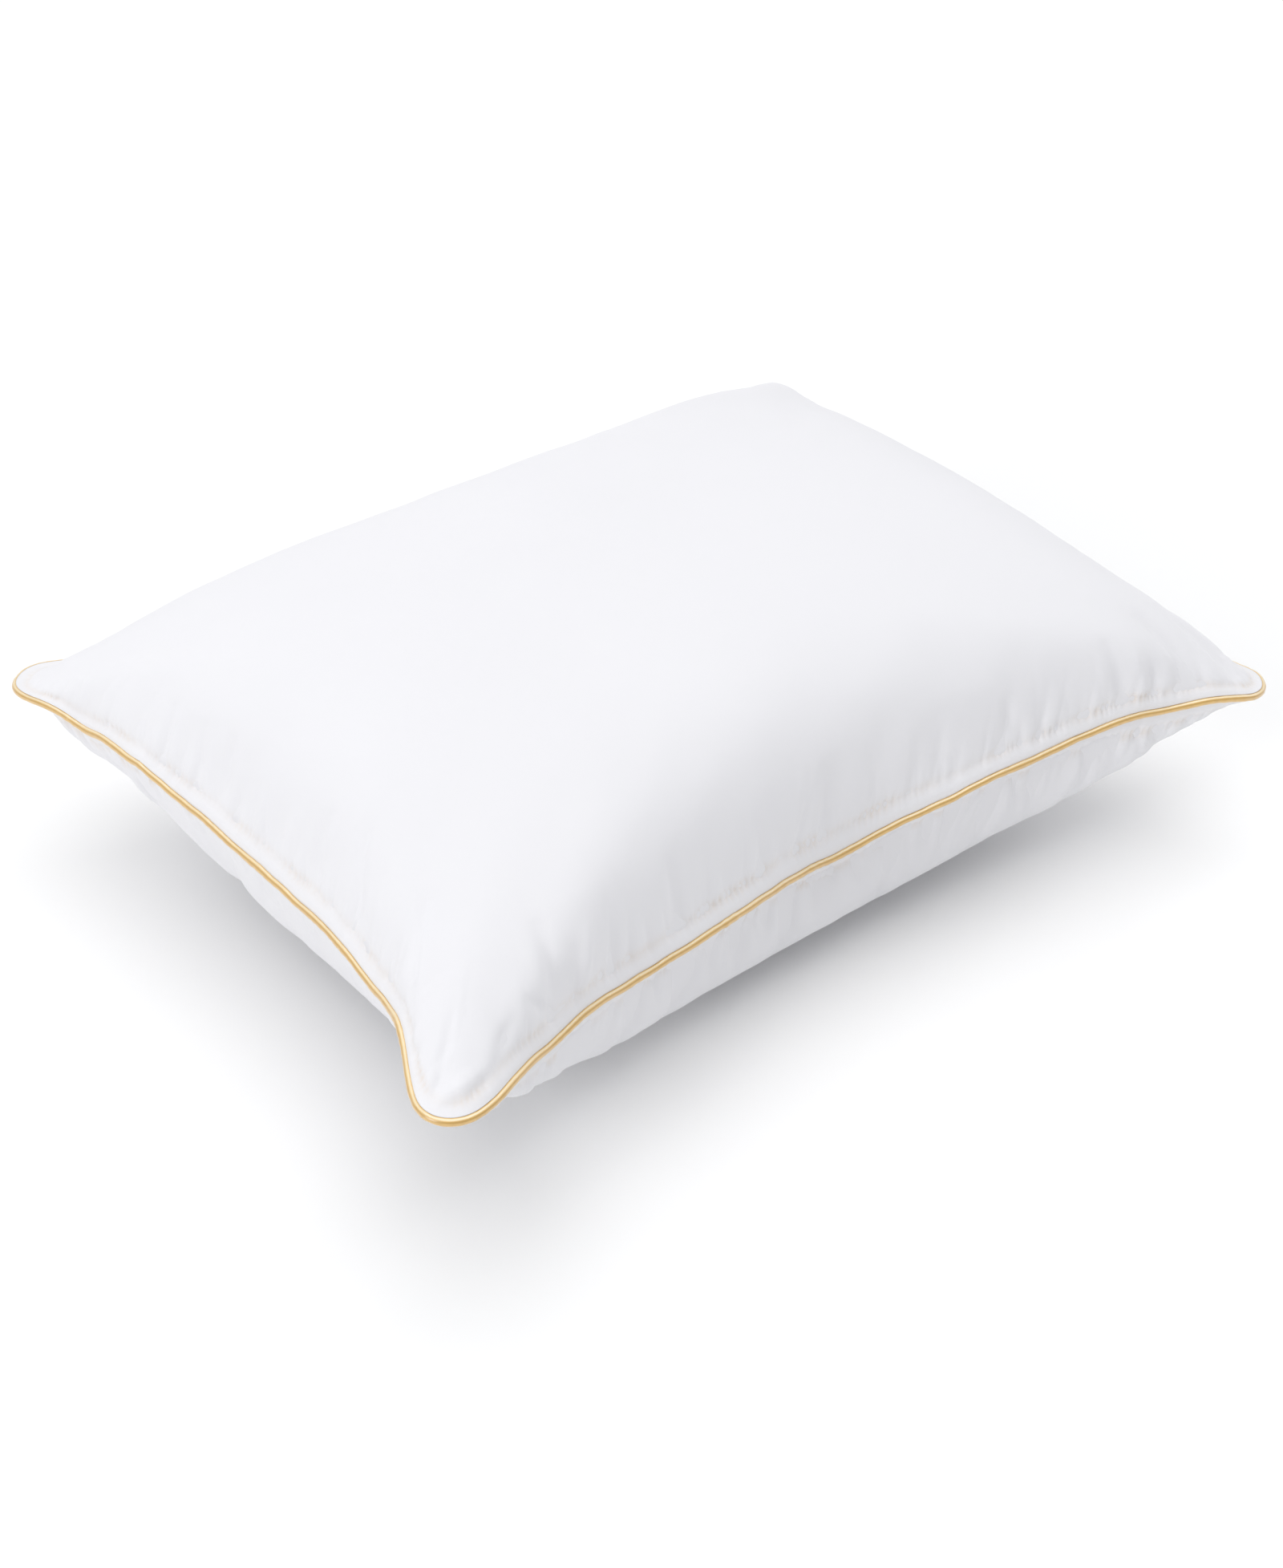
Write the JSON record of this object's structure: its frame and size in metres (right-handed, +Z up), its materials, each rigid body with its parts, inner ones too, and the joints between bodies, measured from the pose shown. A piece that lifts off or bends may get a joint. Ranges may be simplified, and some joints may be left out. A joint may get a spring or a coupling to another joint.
{
  "type": "bed pillow",
  "caption": "Rectangular filled bed pillow with two cotton panels and a corded piping round the seam.",
  "frame": {"origin": "middle of the footprint, on the surface that the pillow lies on", "axes": "+Z up, +X along the long sides, +Y along the short ends; the filling gap and the label are in the +X end seam"},
  "size_m": [0.6334, 0.4886, 0.22],
  "materials": {
    "cotton": "matte down-proof cotton, tight plain weave",
    "gold_satin": "soft satin bias strip",
    "cord": "twisted cotton cord",
    "gold_thread": "polyester thread",
    "white_thread": "polyester thread",
    "down": "loose down and feather",
    "label": "woven satin tape, blank"
  },
  "bodies": {
    "root": {"top_panel": "cotton", "bottom_panel": "cotton", "piping_cover": "gold_satin", "piping_cord": "cord", "piping_stitching": "gold_thread", "seam_stitching": "white_thread", "overlock_stitching": "white_thread", "closing_stitching": "white_thread", "fill": "down", "care_label": "label"}
  },
  "joints": []
}
